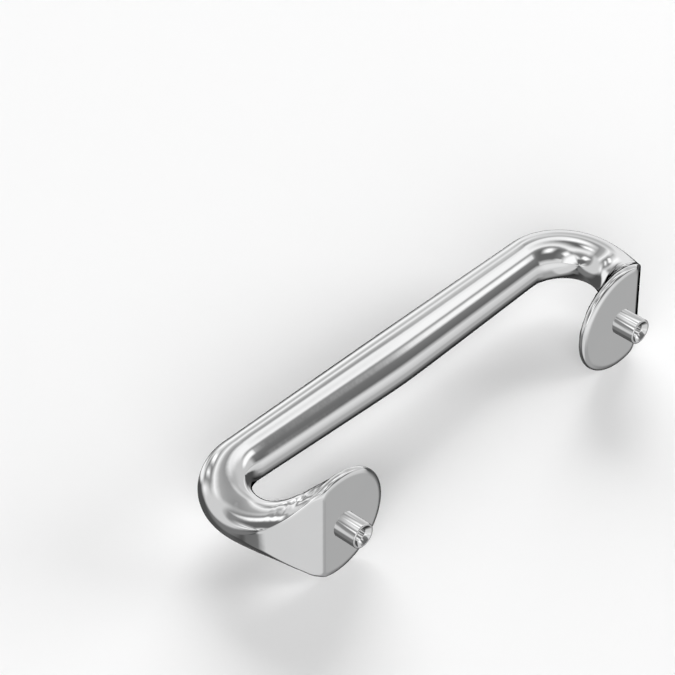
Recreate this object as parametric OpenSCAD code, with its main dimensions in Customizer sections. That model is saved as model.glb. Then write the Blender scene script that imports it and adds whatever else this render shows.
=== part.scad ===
// Cast bar pull for a drawer or door front.
// X runs along the bar, Y stands out from the mounting face and Z is up.
// The origin lies on the mounting face, midway between the two posts.

/* [Fixing] */
// Distance between the centres of the two posts
post_centres = 96; // [64:32:192]
// Outer diameter of each post
post_d = 6.3; // [5.5:0.1:7]
// Length of each post that stands out of its pad
post_out = 6.1; // [4.5:0.1:10]
// Diameter of the shank of each post, which is pressed into its pad
shank_d = 5.4; // [4.8:0.1:5.8]
// Length of the shank
post_seat = 4.6; // [4:0.1:5]
// Minor diameter of the screw thread in each post
screw_d = 3.3; // [2.5:0.1:3.9]
// Depth of the screw hole, from the outer end of the post
screw_depth = 9; // [6:0.5:9.5]
// Diameter of the countersink at the mouth of the screw hole
mouth_d = 5.2; // [4.2:0.1:5.4]
// Chamfer on the outer end of each post
post_chamfer = 0.2; // [0.1:0.05:0.4]

/* [Bar] */
// Distance from the mounting face to the outer line of the bar
projection = 36.6; // [36:0.1:42]
// Diameter of the bar at its middle
bar_mid_d = 13; // [12:0.1:14.5]
// Diameter that the bar has tapered to at its ends
bar_end_d = 11.8; // [11:0.1:12.5]
// Distance from the middle over which the inner line is rounded into a crest
crest_soft = 5; // [1:0.5:10]

/* [Bends] */
// Radius of the outer line of each bend
bend_outer_r = 18.1; // [16:0.1:18.6]
// Radius of the inner line of each bend
bend_inner_r = 8.2; // [7:0.1:9]
// Distance from each post to the centre of the inner line of its bend, away from the middle
bend_shift = -0.4; // [-1:0.1:1]
// Lean of the outer line of each leg, away from upright
leg_lean = 57; // [50:1:59]
// Turn of the inner line past its widest point, before it runs out over the pad
inner_turn = 36; // [25:1:50]
// Width of each leg at its neck
neck_w = 10.9; // [10:0.1:12]

/* [Pads] */
// Radius of the round side of each pad
pad_r = 13.8; // [13:0.1:15]
// Distance from the flat edge of each pad to the far point of its round side
pad_depth = 19.1; // [17:0.1:20]
// Distance from the flat edge of each pad to the centre of its post
post_inset = 5.9; // [5:0.1:8]
// Thickness of the rim of each pad
rim = 1.8; // [1:0.1:2.2]
// Chamfer round the mounting face of each pad
pad_chamfer = 0.6; // [0.2:0.1:0.8]
// How quickly the leg widens into the pad, where 1 is a straight cone
flare = 2.3; // [2:0.1:4]
// Slope of the inner face of each pad at its rim
pad_slope = 38; // [25:1:45]
// Reach of the curve that the inner face makes, at the neck
neck_reach = 9; // [6:0.5:11]
// Reach of the curve that the inner face makes, at the rim
rim_reach = 8; // [5:0.5:10]
// Radius that softens the edges of the flat outer face
crease_r = 2.4; // [1:0.1:4]
// Height above the mounting face at which the flat outer face has died out
flat_rise = 24; // [20:0.5:28]
// How quickly the flat outer face narrows, where 1 is a straight taper
flat_fade = 3.5; // [2:0.1:4.5]

/* [Hidden] */

// Points round each section, and sections in each stretch of one half
around = 48;
bar_steps = 6;
bend_steps = 12;
neck_steps = 7;
pad_steps = 15;

post_x = post_centres / 2;
pad_edge_x = post_x + post_inset;
pad_inner_x = pad_edge_x - pad_depth;

// Slope of the inner line of the bar, from its middle to its ends
taper_run = 35;
taper = (bar_mid_d - bar_end_d) / taper_run;
taper_a = atan(taper);
inner_y = projection - bar_mid_d - taper * crest_soft;

// Centres of the two arcs of the right-hand bend, each an [x, y] pair
outer_c = [
    pad_edge_x + (sin(leg_lean) * (projection - bend_outer_r) - bend_outer_r) / cos(leg_lean),
    projection - bend_outer_r
];
inner_c = [
    post_x + bend_shift,
    inner_y + taper * (post_x + bend_shift) - bend_inner_r / cos(taper_a)
];

// Height at which the outer line leaves its arc and runs straight to the pad
lean_y = outer_c[1] - bend_outer_r * sin(leg_lean);

// The inner line of the leg, from its arc to the rim of the pad
turn_end = arc_point(inner_c, bend_inner_r, -inner_turn);
rim_end = [pad_inner_x, rim];
turn_handle = turn_end - neck_reach * [sin(inner_turn), cos(inner_turn)];
rim_handle = rim_end + rim_reach * [cos(pad_slope), sin(pad_slope)];

// Half width of the flat outer face at the top of the rim
rim_flat = half_chord(pad_r, cut_at(rim));

// The flat never takes up more than this share of the half width of a section
widest = 0.985;

// Hairline gap under the shoulder of each post, and round it in the mouth of its seat
relief = 0.1;

eps = 0.01;

function arc_point(c, r, a) = c + r * [cos(a), sin(a)];
function eased(f) = f * f * (3 - 2 * f);
function half_chord(r, c) = sqrt(pow(r, 2) - pow(c, 2));

// The outer line of the leg at height y
function outer_x(y) = y > lean_y
    ? outer_c[0] + sqrt(pow(bend_outer_r, 2) - pow(y - outer_c[1], 2))
    : pad_edge_x + y * tan(leg_lean);

// The curve of the inner face, from 0 at the end of the arc to 1 at the rim
function inner_face(u) =
    pow(1 - u, 3) * turn_end + 3 * u * pow(1 - u, 2) * turn_handle
    + 3 * pow(u, 2) * (1 - u) * rim_handle + pow(u, 3) * rim_end;

// Distance of the leaning outer face from the axis of the pad's round side, at height y
function cut_at(y) = pad_depth - pad_r + y * tan(leg_lean);

// Half width of the flat outer face at height y, above the rim
function flat_at(y) = rim_flat * pow(max(0, 1 - (y - rim) / (flat_rise - rim)), flat_fade);

// A section is [outer point, inner point, half width, half width of the flat at its outer point]
function section(p_out, p_in, half_w) = [p_out, p_in, half_w, min(flat_at(p_out[1]), widest * half_w)];

// The round bar, from its middle to the start of the bend
bar_sections = [
    for (i = [0 : bar_steps - 1])
        let (f = i / bar_steps,
            x_in = f * (inner_c[0] - bend_inner_r * sin(taper_a)),
            p_out = [f * outer_c[0], projection],
            p_in = [x_in, projection - bar_mid_d + taper * (norm([x_in, crest_soft]) - crest_soft)])
        [p_out, p_in, norm(p_in - p_out) / 2, 0]
];

// The bend, down to its widest point, where the sections lie level with the mounting face
bend_sections = [
    for (i = [0 : bend_steps - 1])
        let (f = i / bend_steps,
            p_out = arc_point(outer_c, bend_outer_r, 90 * (1 - f)),
            p_in = arc_point(inner_c, bend_inner_r, (90 + taper_a) * (1 - f)),
            half_d = norm(p_in - p_out) / 2)
        section(p_out, p_in, half_d + (neck_w / 2 - half_d) * eased(f))
];

// The leg and the pad: level sections that widen towards the rim
leg_inner_line = [
    for (i = [0 : neck_steps - 1]) arc_point(inner_c, bend_inner_r, -inner_turn * i / neck_steps),
    for (i = [0 : pad_steps]) inner_face(i / pad_steps)
];
leg_sections = [
    for (p_in = leg_inner_line)
        let (drop = (inner_c[1] - p_in[1]) / (inner_c[1] - rim),
            y = outer_c[1] + drop * (rim - outer_c[1]))
        section([outer_x(y), y], p_in, neck_w / 2 + (pad_r - neck_w / 2) * pow(drop, flare))
];

// In the rim the round side stands upright, while the outer face still leans
rim_sections = [
    [
        [outer_x(pad_chamfer), pad_chamfer],
        [pad_inner_x, pad_chamfer],
        pad_r,
        half_chord(pad_r, cut_at(pad_chamfer))
    ],
    [
        [pad_edge_x - pad_chamfer, 0],
        [pad_inner_x + pad_chamfer, 0],
        pad_r - pad_chamfer,
        half_chord(pad_r - pad_chamfer, cut_at(0) - pad_chamfer)
    ]
];

half = concat(bar_sections, bend_sections, leg_sections, rim_sections);

// The points of one section, spaced by the direction that the surface faces there
function ring(s, side) =
    let (depth = norm(s[1] - s[0]),
        along = (s[1] - s[0]) / depth,
        r = s[2],
        c = half_chord(r, s[3]),
        stretch = depth / (r + c),
        soft = min(crease_r, (r + c) / 2),
        corner = sqrt(max(0, pow(r - soft, 2) - pow(c - soft, 2))),
        corner_a = atan2(corner, soft - c))
    [
        for (i = [0 : around - 1])
            let (a = -180 + (i + 0.5) * 360 / around,
                round_side = abs(a) <= corner_a,
                t = round_side ? c + r * cos(a) : soft + soft * cos(a),
                z = round_side ? r * sin(a) : sign(a) * corner + soft * sin(a))
            [side * (s[0][0] + along[0] * t * stretch), s[0][1] + along[1] * t * stretch, z]
    ];

rings = concat(
    [for (i = [len(half) - 1 : -1 : 1]) ring(half[i], -1)],
    [for (i = [0 : len(half) - 1]) ring(half[i], 1)]
);

module skin(rings) {
    n = len(rings[0]);
    last = len(rings) - 1;
    points = [for (r = rings) each r];
    walls = [
        for (j = [0 : last - 1], i = [0 : n - 1])
            let (k = (i + 1) % n,
                a = j * n + i,
                b = j * n + k,
                c = (j + 1) * n + k,
                d = (j + 1) * n + i)
            each [[a, b, c], [a, c, d]]
    ];
    ends = [[for (i = [n - 1 : -1 : 0]) i], [for (i = [0 : n - 1]) last * n + i]];
    polyhedron(points = points, faces = concat(walls, ends), convexity = 8);
}

// A cylinder along Y, from y to y + h
module y_cylinder(d, h, y, d2) {
    translate([0, y, 0])
        rotate([-90, 0, 0])
            cylinder(d1 = d, d2 = is_undef(d2) ? d : d2, h = h, $fn = 64);
}

module at_posts() {
    for (side = [-1, 1])
        translate([side * post_x, 0, 0])
            children();
}

// The bar, its bends, legs and pads: one polished casting with a blind seat in each pad
module pull_body() {
    color([0.78, 0.78, 0.8])
        difference() {
            skin(rings);
            at_posts() {
                y_cylinder(shank_d, post_seat + eps, -eps);
                y_cylinder(post_d + 2 * relief, 2 * relief + eps, -eps);
            }
        }
}

// A turned post with a thinner shank, tapped from its outer end
module post(x) {
    tip_y = screw_depth - post_out;
    mouth_h = (mouth_d - screw_d) / 2;
    color([0.72, 0.72, 0.74])
        translate([x, 0, 0])
            difference() {
                union() {
                    y_cylinder(shank_d, post_seat + 2 * relief, -2 * relief);
                    y_cylinder(post_d, post_out - post_chamfer - relief, post_chamfer - post_out);
                    y_cylinder(post_d - 2 * post_chamfer, post_chamfer, -post_out, post_d);
                }
                y_cylinder(screw_d, screw_depth + eps, -post_out - eps);
                y_cylinder(screw_d, screw_d / 4, tip_y, 0);
                y_cylinder(mouth_d, mouth_h, -post_out, screw_d);
            }
}

module left_post() {
    post(-post_x);
}

module right_post() {
    post(post_x);
}

pull_body();
left_post();
right_post();
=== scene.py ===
from math import atan, atan2, cos, hypot, pi, radians, sin, sqrt, tan

import bmesh
import bpy
from mathutils import Matrix, Vector, noise


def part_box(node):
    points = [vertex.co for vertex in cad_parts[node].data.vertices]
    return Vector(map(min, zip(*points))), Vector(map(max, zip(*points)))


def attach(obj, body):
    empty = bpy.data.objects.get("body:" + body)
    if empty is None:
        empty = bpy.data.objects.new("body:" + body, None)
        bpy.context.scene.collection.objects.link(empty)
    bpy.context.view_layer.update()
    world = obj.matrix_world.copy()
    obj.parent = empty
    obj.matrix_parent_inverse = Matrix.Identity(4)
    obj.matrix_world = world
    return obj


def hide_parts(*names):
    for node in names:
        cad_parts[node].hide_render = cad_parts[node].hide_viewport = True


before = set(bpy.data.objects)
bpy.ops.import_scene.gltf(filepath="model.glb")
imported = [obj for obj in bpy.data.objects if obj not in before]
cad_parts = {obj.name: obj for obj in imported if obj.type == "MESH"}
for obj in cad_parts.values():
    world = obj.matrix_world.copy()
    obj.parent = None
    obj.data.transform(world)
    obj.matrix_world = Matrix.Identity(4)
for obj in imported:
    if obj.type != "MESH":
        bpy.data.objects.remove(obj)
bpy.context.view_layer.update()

scene = bpy.context.scene
scene.view_settings.view_transform = "Standard"
MM = 0.001


# Camera: a long lens that looks down on the mounting side of the pull, from
# beyond its left end, as the photograph does.
camera = bpy.data.objects.new("camera", bpy.data.cameras.new("camera"))
scene.collection.objects.link(camera)
scene.camera = camera
camera.location = (-0.4433, -0.3676, 0.5014)
camera.rotation_euler = (radians(50.294), 0, radians(-46.949))
camera.data.lens = 178.41


# Floor: a wide, plain sheet of matt white board that the pads stand on edge on.
floor_mesh = bmesh.new()
bmesh.ops.create_grid(
    floor_mesh, x_segments=1, y_segments=1, size=12,
    matrix=Matrix.Translation((0, 0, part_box("pull_body")[0][2])),
)
floor_data = bpy.data.meshes.new("floor")
floor_mesh.to_mesh(floor_data)
floor_mesh.free()
floor = bpy.data.objects.new("floor", floor_data)
scene.collection.objects.link(floor)
floor.visible_glossy = False

board = bpy.data.materials.new("white_board")
board.use_nodes = True
shader = board.node_tree.nodes["Principled BSDF"]
shader.inputs["Roughness"].default_value = 0.9
shader.inputs["Specular IOR Level"].default_value = 0.1
fibre = board.node_tree.nodes.new("ShaderNodeTexNoise")
fibre.inputs["Scale"].default_value = 3
tone = board.node_tree.nodes.new("ShaderNodeValToRGB")
tone.color_ramp.elements[0].color = (0.88, 0.88, 0.88, 1)
tone.color_ramp.elements[1].color = (0.9, 0.9, 0.9, 1)
board.node_tree.links.new(fibre.outputs["Fac"], tone.inputs["Fac"])
board.node_tree.links.new(tone.outputs["Color"], shader.inputs["Base Color"])
floor_data.materials.append(board)


# Studio: a dim room with long strip lights that run along the bar. The polished
# metal mirrors it as bands, so its level is set by the angle about the bar,
# from the side away from the mounting face (0) over the top (90) and round.
world = bpy.data.worlds.new("studio")
scene.world = world
world.use_nodes = True
world.cycles_visibility.diffuse = False
tree = world.node_tree
tree.nodes.clear()
room = tree.nodes.new("ShaderNodeBackground")
out = tree.nodes.new("ShaderNodeOutputWorld")
tree.links.new(room.outputs["Background"], out.inputs["Surface"])
where = tree.nodes.new("ShaderNodeTexCoord")
axes = tree.nodes.new("ShaderNodeSeparateXYZ")
tree.links.new(where.outputs["Generated"], axes.inputs["Vector"])
turn = tree.nodes.new("ShaderNodeMath")
turn.operation = "ARCTAN2"
tree.links.new(axes.outputs["Z"], turn.inputs[0])
tree.links.new(axes.outputs["Y"], turn.inputs[1])
along = tree.nodes.new("ShaderNodeMath")
along.operation = "ARCSINE"
tree.links.new(axes.outputs["X"], along.inputs[0])
both = tree.nodes.new("ShaderNodeCombineXYZ")
tree.links.new(turn.outputs["Value"], both.inputs["X"])
tree.links.new(along.outputs["Value"], both.inputs["Y"])
degrees = tree.nodes.new("ShaderNodeVectorMath")
degrees.operation = "SCALE"
degrees.inputs["Scale"].default_value = 180 / pi
tree.links.new(both.outputs["Vector"], degrees.inputs["Vector"])

share = tree.nodes.new("ShaderNodeMapRange")
share.inputs["From Min"].default_value = -pi
share.inputs["From Max"].default_value = pi
tree.links.new(turn.outputs["Value"], share.inputs["Value"])
bands = tree.nodes.new("ShaderNodeValToRGB")

# The angles and levels here, and the cards below, were fitted by a program to
# the bands that the photographed metal shows, and were then rounded.
stops = (
    (-180, 0.45), (-170, 0.7), (-146, 0.6), (-134, 0.4), (-92, 0.1), (-68, 0.15),
    (-20, 0.5), (3, 1.05), (24, 0.45), (37, 0.95), (48, 0.45), (58, 0.35),
    (67, 0.9), (99, 0.95), (108, 0.35), (172, 0.2), (180, 0.45),
)
ramp = bands.color_ramp
for angle, level in stops[1:-1]:
    ramp.elements.new((angle + 180) / 360)
for stop, (angle, level) in zip(ramp.elements, stops):
    stop.color = (level, level, level, 1)
tree.links.new(share.outputs["Result"], bands.inputs["Fac"])

# One soft-edged card or lamp of the studio, placed by the angle about the bar
# and the angle along it: its centre, half its size, its lean and its edge.
card = bpy.data.node_groups.new("studio_card", "ShaderNodeTree")
for name, kind in (
    ("Place", "Vector"), ("Centre", "Vector"), ("Half", "Vector"),
    ("Lean", "Float"), ("Edge", "Float"),
):
    card.interface.new_socket(name, in_out="INPUT", socket_type="NodeSocket" + kind)
card.interface.new_socket("Mask", in_out="OUTPUT", socket_type="NodeSocketFloat")
given = card.nodes.new("NodeGroupInput")
result = card.nodes.new("NodeGroupOutput")
offset = card.nodes.new("ShaderNodeVectorMath")
offset.operation = "SUBTRACT"
card.links.new(given.outputs["Place"], offset.inputs[0])
card.links.new(given.outputs["Centre"], offset.inputs[1])
parts = card.nodes.new("ShaderNodeSeparateXYZ")
card.links.new(offset.outputs["Vector"], parts.inputs["Vector"])
leaned = card.nodes.new("ShaderNodeMath")
leaned.operation = "MULTIPLY_ADD"
card.links.new(parts.outputs["Y"], leaned.inputs[0])
card.links.new(given.outputs["Lean"], leaned.inputs[1])
card.links.new(parts.outputs["X"], leaned.inputs[2])
joined = card.nodes.new("ShaderNodeCombineXYZ")
card.links.new(leaned.outputs["Value"], joined.inputs["X"])
card.links.new(parts.outputs["Y"], joined.inputs["Y"])
size = card.nodes.new("ShaderNodeVectorMath")
size.operation = "ABSOLUTE"
card.links.new(joined.outputs["Vector"], size.inputs[0])
beyond = card.nodes.new("ShaderNodeVectorMath")
beyond.operation = "SUBTRACT"
card.links.new(size.outputs["Vector"], beyond.inputs[0])
card.links.new(given.outputs["Half"], beyond.inputs[1])
ratio = card.nodes.new("ShaderNodeVectorMath")
ratio.operation = "DIVIDE"
card.links.new(beyond.outputs["Vector"], ratio.inputs[0])
card.links.new(given.outputs["Edge"], ratio.inputs[1])
split = card.nodes.new("ShaderNodeSeparateXYZ")
card.links.new(ratio.outputs["Vector"], split.inputs["Vector"])
product = card.nodes.new("ShaderNodeMath")
product.operation = "MULTIPLY"
for k, axis in enumerate("XY"):
    fade = card.nodes.new("ShaderNodeMapRange")
    fade.interpolation_type = "SMOOTHSTEP"
    fade.inputs["From Min"].default_value = -1
    fade.inputs["To Min"].default_value = 1
    fade.inputs["To Max"].default_value = 0
    card.links.new(split.outputs[axis], fade.inputs["Value"])
    card.links.new(fade.outputs["Result"], product.inputs[k])
card.links.new(product.outputs["Value"], result.inputs["Mask"])

# Each card's place about and along the bar, its half sizes, edge, lean and level.
# A card is laid over the ones before it.
cards = (
    (-95, -45, 14, 14, 6, 0, 0.22),
    (-127, -5, 27, 33, 13, 0, 0.4),
    (-128, -42, 20, 36, 6, 0, 0.65),
    (-130, 34, 10, 10, 5, 0, 0.45),
    (-167, -14, 18, 41, 18, 0, 0.8),
    (169, -5, 11, 32, 4, 0, 0.7),
    (93, 71, 92, 21, 8, 0, 0.6),
    (-89, 71, 55, 15, 10, 0, 0.15),
    (-57, -51, 22, 32, 9, -1, 0.25),
    (-36, -2, 26, 26, 10, 0, 0.15),
    (-18, 12, 8, 12, 4, 1, 0.9),
    (-31, 34, 17, 2, 10, 0, 0),
    (7, 50, 46, 11, 6, 0.5, 0.8),
    (10, -46, 34, 30, 9, -0.5, 0.65),
    (14, 7, 17, 14, 7, 0, 0.3),
    (15, 17, 8, 4, 4, 0.5, 1.15),
    (14, 4, 7, 3, 5, 0.5, 1.1),
    (90, 10, 15, 34, 8, 0, 0.95),
    (81, 8, 13, 18, 12, 0, 0.2),
    (71, 23, 8, 6, 8, 0, 1.15),
    (70, 1, 6, 5, 4, 0, 1.1),
    (139, 6, 26, 24, 9, 0, 0.2),
    (124, 7, 8, 7, 7, 0, 1.2),
    (149, -58, 41, 19, 11, 0.5, 1),
    (123, -30, 10, 7, 6, 0.5, 1.1),
    (127, 52, 11, 17, 7, 0, 1.05),
    (65, -48, 31, 21, 11, -1, 0.3),
    (68, -47, 11, 8, 6, 0.5, 1.1),
    (81, -71, 27, 13, 6, 0.5, 0.2),
    (47, 53, 26, 8, 11, 0, 0.5),
    (-53, 36, 21, 12, 5, 0, 0.02),
)
last = bands.outputs["Color"]
for about, beside, half_about, half_beside, edge, lean, level in cards:
    mask = tree.nodes.new("ShaderNodeGroup")
    mask.node_tree = card
    tree.links.new(degrees.outputs["Vector"], mask.inputs["Place"])
    mask.inputs["Centre"].default_value = (about, beside, 0)
    mask.inputs["Half"].default_value = (half_about, half_beside, 0)
    mask.inputs["Lean"].default_value = lean
    mask.inputs["Edge"].default_value = edge
    over = tree.nodes.new("ShaderNodeMix")
    over.data_type = "RGBA"
    # A colour mix takes its two colours at 6 and 7 and gives its result at 2.
    tree.links.new(mask.outputs["Mask"], over.inputs["Factor"])
    tree.links.new(last, over.inputs[6])
    over.inputs[7].default_value = (level, level, level, 1)
    last = over.outputs[2]
contrast = tree.nodes.new("ShaderNodeBrightContrast")
contrast.inputs["Contrast"].default_value = 0.2
tree.links.new(last, contrast.inputs["Color"])
tree.links.new(contrast.outputs["Color"], room.inputs["Color"])

# Four broad, soft lamps light the floor: one from behind the pull, one from the
# camera's side, one from the right and one overhead that fills the shadows.
for name, place, width, watts in (
    ("back_lamp", (2, 1.85, 1.2), 2.2, 94),
    ("front_lamp", (-2.22, -1.86, 0.78), 3.5, 156),
    ("side_lamp", (2.22, -1.86, 0.78), 1.9, 60),
    ("overhead_lamp", (0, 0, 3), 7, 35),
):
    lamp = bpy.data.objects.new(name, bpy.data.lights.new(name, "AREA"))
    scene.collection.objects.link(lamp)
    lamp.location = place
    lamp.rotation_euler = Vector(place).to_track_quat("Z", "Y").to_euler()
    lamp.data.shape = "DISK"
    lamp.data.size = width
    lamp.data.energy = watts
    lamp.visible_glossy = False


# Polish: the faint waviness and haze that buffing leaves on plated castings.
polish = bpy.data.node_groups.new("polish", "ShaderNodeTree")
polish.interface.new_socket("Tint", in_out="OUTPUT", socket_type="NodeSocketColor")
polish.interface.new_socket("Haze", in_out="OUTPUT", socket_type="NodeSocketFloat")
polish.interface.new_socket("Normal", in_out="OUTPUT", socket_type="NodeSocketVector")
polish_out = polish.nodes.new("NodeGroupOutput")
place = polish.nodes.new("ShaderNodeTexCoord")
cloud = polish.nodes.new("ShaderNodeTexNoise")
cloud.inputs["Scale"].default_value = 120
cloud.inputs["Detail"].default_value = 3
polish.links.new(place.outputs["Object"], cloud.inputs["Vector"])
tint = polish.nodes.new("ShaderNodeValToRGB")
tint.color_ramp.elements[0].color = (0.86, 0.865, 0.87, 1)
tint.color_ramp.elements[1].color = (0.9, 0.9, 0.9, 1)
polish.links.new(cloud.outputs["Fac"], tint.inputs["Fac"])
polish.links.new(tint.outputs["Color"], polish_out.inputs["Tint"])
haze = polish.nodes.new("ShaderNodeMapRange")
haze.inputs["To Min"].default_value = 0.015
haze.inputs["To Max"].default_value = 0.035
polish.links.new(cloud.outputs["Fac"], haze.inputs["Value"])
polish.links.new(haze.outputs["Result"], polish_out.inputs["Haze"])
wave = polish.nodes.new("ShaderNodeTexNoise")
wave.inputs["Scale"].default_value = 350
polish.links.new(place.outputs["Object"], wave.inputs["Vector"])
ripple = polish.nodes.new("ShaderNodeBump")
ripple.inputs["Strength"].default_value = 0.012
ripple.inputs["Distance"].default_value = 0.001
polish.links.new(wave.outputs["Fac"], ripple.inputs["Height"])
polish.links.new(ripple.outputs["Normal"], polish_out.inputs["Normal"])


# The pull: one zinc casting, polished and chrome plated. A round bar tapers to
# both ends, turns down through a bend and flares into a D-shaped pad with a
# flat outer face. The inner face of each pad keeps the marks of a small hammer.
projection = 36.6
bar_mid_d = 13
bar_end_d = 11.8
taper_run = 35
crest_soft = 5
outer_r = 18.1
inner_r = 8.2
bend_shift = -0.4
leg_lean = radians(57)
inner_turn = 36
neck_w = 10.9
pad_r = 13.8
pad_depth = 19.1
post_inset = 5.9
rim = 1.8
flare = 2.3
pad_slope = radians(38)
neck_reach = 9
rim_reach = 8
crease_r = 2.4
flat_rise = 24
flat_fade = 3.5
widest = 0.985
post_x = 48
edge_x = post_x + post_inset
inner_x = edge_x - pad_depth
slant = tan(leg_lean)
taper = (bar_mid_d - bar_end_d) / taper_run
taper_a = atan(taper)
outer_y = projection - outer_r
outer_c = Vector((edge_x + slant * outer_y - outer_r / cos(leg_lean), outer_y))
bend_x = post_x + bend_shift
inner_y = projection - bar_mid_d - taper * crest_soft + taper * bend_x
inner_c = Vector((bend_x, inner_y - inner_r / cos(taper_a)))
lean_y = outer_c.y - outer_r * sin(leg_lean)


def chord(r, c):
    return sqrt(max(0, r * r - c * c))


def on_arc(centre, r, degrees):
    return centre + r * Vector((cos(radians(degrees)), sin(radians(degrees))))


def outer_line(y):
    if y > lean_y:
        return Vector((outer_c.x + chord(outer_r, y - outer_c.y), y))
    return Vector((edge_x + y * slant, y))


# A section is the outer point, the inner point, half its width and half the
# width of its flat, in one list, so that two sections blend as lists do.
def section(p_out, p_in, half_w):
    flat = chord(pad_r, pad_depth - pad_r + rim * slant)
    flat *= max(0, 1 - (p_out.y - rim) / (flat_rise - rim)) ** flat_fade
    return Vector((*p_out, *p_in, half_w, min(flat, widest * half_w)))


bar_steps = 14
bend_steps = 36
neck_steps = 20
pad_steps = 70
sections = []
for i in range(bar_steps):
    f = i / bar_steps
    x_in = f * (inner_c.x - inner_r * sin(taper_a))
    y_in = projection - bar_mid_d + taper * (hypot(x_in, crest_soft) - crest_soft)
    p_out = Vector((f * outer_c.x, projection))
    p_in = Vector((x_in, y_in))
    sections.append(Vector((*p_out, *p_in, (p_in - p_out).length / 2, 0)))
for i in range(bend_steps):
    f = i / bend_steps
    p_out = on_arc(outer_c, outer_r, 90 * (1 - f))
    p_in = on_arc(inner_c, inner_r, (90 + taper_a * 180 / pi) * (1 - f))
    half_d = (p_in - p_out).length / 2
    ease = f ** 2 * (3 - 2 * f)
    sections.append(section(p_out, p_in, half_d + (neck_w / 2 - half_d) * ease))

# The inner line of the leg: the rest of its arc, then one curve to the rim.
turn_end = on_arc(inner_c, inner_r, -inner_turn)
turn_a = radians(inner_turn)
turn_handle = turn_end - neck_reach * Vector((sin(turn_a), cos(turn_a)))
rim_end = Vector((inner_x, rim))
rim_handle = rim_end + rim_reach * Vector((cos(pad_slope), sin(pad_slope)))
inner_line = [on_arc(inner_c, inner_r, -inner_turn * i / neck_steps) for i in range(neck_steps)]
for i in range(pad_steps + 1):
    u = i / pad_steps
    inner_line.append(
        (1 - u) ** 3 * turn_end + 3 * u * (1 - u) ** 2 * turn_handle
        + 3 * u * u * (1 - u) * rim_handle + u ** 3 * rim_end
    )
for p_in in inner_line:
    drop = (inner_c.y - p_in.y) / (inner_c.y - rim)
    y = outer_c.y + drop * (rim - outer_c.y)
    half_w = neck_w / 2 + (pad_r - neck_w / 2) * drop ** flare
    sections.append(section(outer_line(y), p_in, half_w))


# The rim: an upright wall and the flat back. The buffing wheel has rounded the
# edge between them round the round side and left the straight one crisp.
def back_section(inset, round_inset):
    r = pad_r - round_inset
    c = pad_depth - pad_r - inset
    return Vector((edge_x - inset, 0, inner_x + round_inset, 0, r, chord(r, c)))


crisp = 0.25
buffed = 2
wall_y = 0.7
half_flat = chord(pad_r, pad_depth - pad_r + crisp * slant)
wall = Vector((*outer_line(crisp), inner_x, wall_y, pad_r, half_flat))
edge = back_section(crisp, 0.55 * buffed)
back = back_section(2 * crisp, buffed)
corners = (sections[-1], wall, edge)
ease_in = (sections[-3], sections[-1].lerp(wall, 0.6), wall.lerp(edge, 0.5))
ease_out = (sections[-1].lerp(wall, 0.3), wall.lerp(edge, 0.4), edge.lerp(back, 0.9))
del sections[-3:]
for a, b, c in zip(ease_in, corners, ease_out):
    for u in (0, 0.25, 0.5, 0.75, 1):
        sections.append((1 - u) ** 2 * a + 2 * u * (1 - u) * b + u * u * c)
sections.append(back)

around = 256
rings = len(sections)
body = bmesh.new()
bmesh.ops.create_grid(body, x_segments=2 * rings - 2, y_segments=around, size=1)
for v in body.verts:
    row = round((v.co.x + 1) / 2 * (2 * rings - 2)) - (rings - 1)
    a = -pi + (round((v.co.y + 1) / 2 * around) % around + 0.5) * 2 * pi / around
    s = sections[abs(row)]
    p_out = Vector((s[0], s[1]))
    span = Vector((s[2], s[3])) - p_out
    r = s[4]
    c = chord(r, s[5])
    soft = min(crease_r, (r + c) / 2)
    corner = sqrt(max(0, (r - soft) ** 2 - (c - soft) ** 2))
    if abs(a) <= atan2(corner, soft - c):
        t, z = c + r * cos(a), r * sin(a)
    else:
        t, z = soft + soft * cos(a), (corner if a > 0 else -corner) + soft * sin(a)
    p = p_out + span * t / (r + c)
    v.co = Vector((p.x if row >= 0 else -p.x, p.y, z)) * MM
bmesh.ops.remove_doubles(body, verts=body.verts, dist=1e-7)
bmesh.ops.recalc_face_normals(body, faces=body.faces)
body.normal_update()

# Hammer marks: shallow bowls about 2 mm wide on the round side of each pad,
# which die out towards the neck and at the rim. They only ever cut inwards.
mark_w = 1.9
mark_depth = 0.16
marks_top = 9.5
top_fade = 3.5
marks_foot = rim - 0.1
foot_fade = 0.8
edge_fade = 2.5


def ease_off(distance, fade_w):
    return min(1, max(0, distance / fade_w))


for v in body.verts:
    x, y = abs(v.co.x) / MM, v.co.y / MM
    height = ease_off(marks_top - y, top_fade) * ease_off(y - marks_foot, foot_fade)
    inward = ease_off(edge_x + y * slant - x - edge_fade, edge_fade)
    if height * inward > 0:
        near = noise.voronoi(v.co / (mark_w * MM), distance_metric="DISTANCE")[0][0]
        bowl = max(0, 1 - 1.5 * near * near)
        v.co -= v.normal * (mark_depth * MM * height * inward * bowl)

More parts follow.
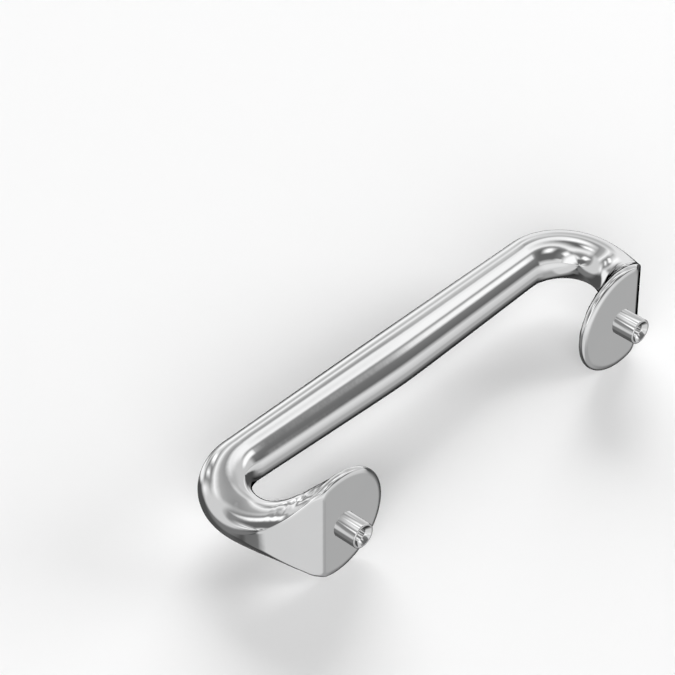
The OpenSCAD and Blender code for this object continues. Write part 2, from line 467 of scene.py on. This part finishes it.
# The blind seat of each post, whose mouth is a hair wider than the post.
post_r = 3.15
shank_r = 2.7
post_seat = 4.6
relief = 0.1
seat_r = post_r + relief
seat_steps = ((1, 2 * relief), (shank_r / seat_r, 0), (1, post_seat - 2 * relief))
for side in (-1, 1):
    open_edges = [e for e in body.edges if e.is_boundary and e.verts[0].co.x * side > 0]
    centre = Vector((side * post_x * MM, 0, 0))
    ring = bmesh.ops.create_circle(
        body, segments=64, radius=seat_r * MM,
        matrix=Matrix.Translation(centre) @ Matrix.Rotation(pi / 2, 4, "X"),
    )
    ring_edges = list({e for v in ring["verts"] for e in v.link_edges})
    bmesh.ops.bridge_loops(body, edges=open_edges + ring_edges)
    for narrow, deeper in seat_steps:
        seat = bmesh.ops.extrude_edge_only(body, edges=ring_edges)["geom"]
        ring_edges = [g for g in seat if isinstance(g, bmesh.types.BMEdge)]
        deep = [g for g in seat if isinstance(g, bmesh.types.BMVert)]
        bmesh.ops.scale(
            body, verts=deep, vec=(narrow, 1, narrow), space=Matrix.Translation(-centre),
        )
        bmesh.ops.translate(body, verts=deep, vec=(0, deeper * MM, 0))
    bmesh.ops.contextual_create(body, geom=ring_edges)
bmesh.ops.recalc_face_normals(body, faces=body.faces)
for f in body.faces:
    f.smooth = True
for e in body.edges:
    e.smooth = e.calc_face_angle(0) < radians(30)

# The solid is made of facets, so its box is a hair smaller than these curves.
low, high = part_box("pull_body")
for axis in range(3):
    reach = max(abs(v.co[axis]) for v in body.verts)
    fit = min(1, max(abs(low[axis]), abs(high[axis])) / reach)
    for v in body.verts:
        v.co[axis] *= fit
body_data = bpy.data.meshes.new("pull")
body.to_mesh(body_data)
body.free()
pull = bpy.data.objects.new("pull", body_data)
scene.collection.objects.link(pull)
pull.visible_glossy = False

chrome = bpy.data.materials.new("cast_chrome")
chrome.use_nodes = True
shader = chrome.node_tree.nodes["Principled BSDF"]
shader.inputs["Metallic"].default_value = 1
look = chrome.node_tree.nodes.new("ShaderNodeGroup")
look.node_tree = polish
chrome.node_tree.links.new(look.outputs["Tint"], shader.inputs["Base Color"])
chrome.node_tree.links.new(look.outputs["Haze"], shader.inputs["Roughness"])
chrome.node_tree.links.new(look.outputs["Normal"], shader.inputs["Normal"])
body_data.materials.append(chrome)
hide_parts("pull_body")
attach(pull, "root")


# Posts: two turned steel bushes, chrome plated, pressed into the backs of the
# pads. Each has a thin rounded lip, a countersunk mouth and a tapped hole.
post_chrome = bpy.data.materials.new("turned_chrome")
post_chrome.use_nodes = True
shader = post_chrome.node_tree.nodes["Principled BSDF"]
shader.inputs["Metallic"].default_value = 1
look = post_chrome.node_tree.nodes.new("ShaderNodeGroup")
look.node_tree = polish
post_chrome.node_tree.links.new(look.outputs["Tint"], shader.inputs["Base Color"])
post_chrome.node_tree.links.new(look.outputs["Haze"], shader.inputs["Roughness"])
post_chrome.node_tree.links.new(look.outputs["Normal"], shader.inputs["Normal"])
post_out = 6.1
screw_r = 1.65
screw_depth = 9
sink_r = 2.6
outline = (
    (0, post_seat), (shank_r, post_seat), (shank_r, -relief),
    (post_r - 0.05, -relief), (post_r, -relief - 0.05),
    (post_r, 0.25 - post_out), (post_r - 0.02, 0.14 - post_out),
    (post_r - 0.09, 0.05 - post_out), (post_r - 0.2, -post_out),
    (sink_r + 0.12, -post_out), (sink_r + 0.03, 0.02 - post_out),
    (sink_r - 0.03, 0.08 - post_out), (screw_r + 0.05, 0.95 - post_out),
    (screw_r, 1.05 - post_out), (screw_r, screw_depth - post_out),
    (0, screw_depth + 0.8 - post_out),
)
for name, centre in (("left_post", -post_x), ("right_post", post_x)):
    bush = bmesh.new()
    profile = [bush.verts.new((centre * MM + r * MM, y * MM, 0)) for r, y in outline]
    edges = [bush.edges.new(pair) for pair in zip(profile, profile[1:])]
    bmesh.ops.spin(
        bush, geom=profile + edges, cent=(centre * MM, 0, 0), axis=(0, 1, 0),
        angle=2 * pi, steps=96, use_merge=True,
    )
    bmesh.ops.remove_doubles(bush, verts=bush.verts, dist=1e-7)
    bmesh.ops.recalc_face_normals(bush, faces=bush.faces)
    for f in bush.faces:
        f.smooth = True
    for e in bush.edges:
        e.smooth = e.calc_face_angle(0) < radians(30)
    bush_data = bpy.data.meshes.new(name + "_bush")
    bush.to_mesh(bush_data)
    bush.free()
    post = bpy.data.objects.new(name + "_bush", bush_data)
    scene.collection.objects.link(post)
    post.visible_glossy = False
    bush_data.materials.append(post_chrome)
    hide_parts(name)
    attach(post, "root")
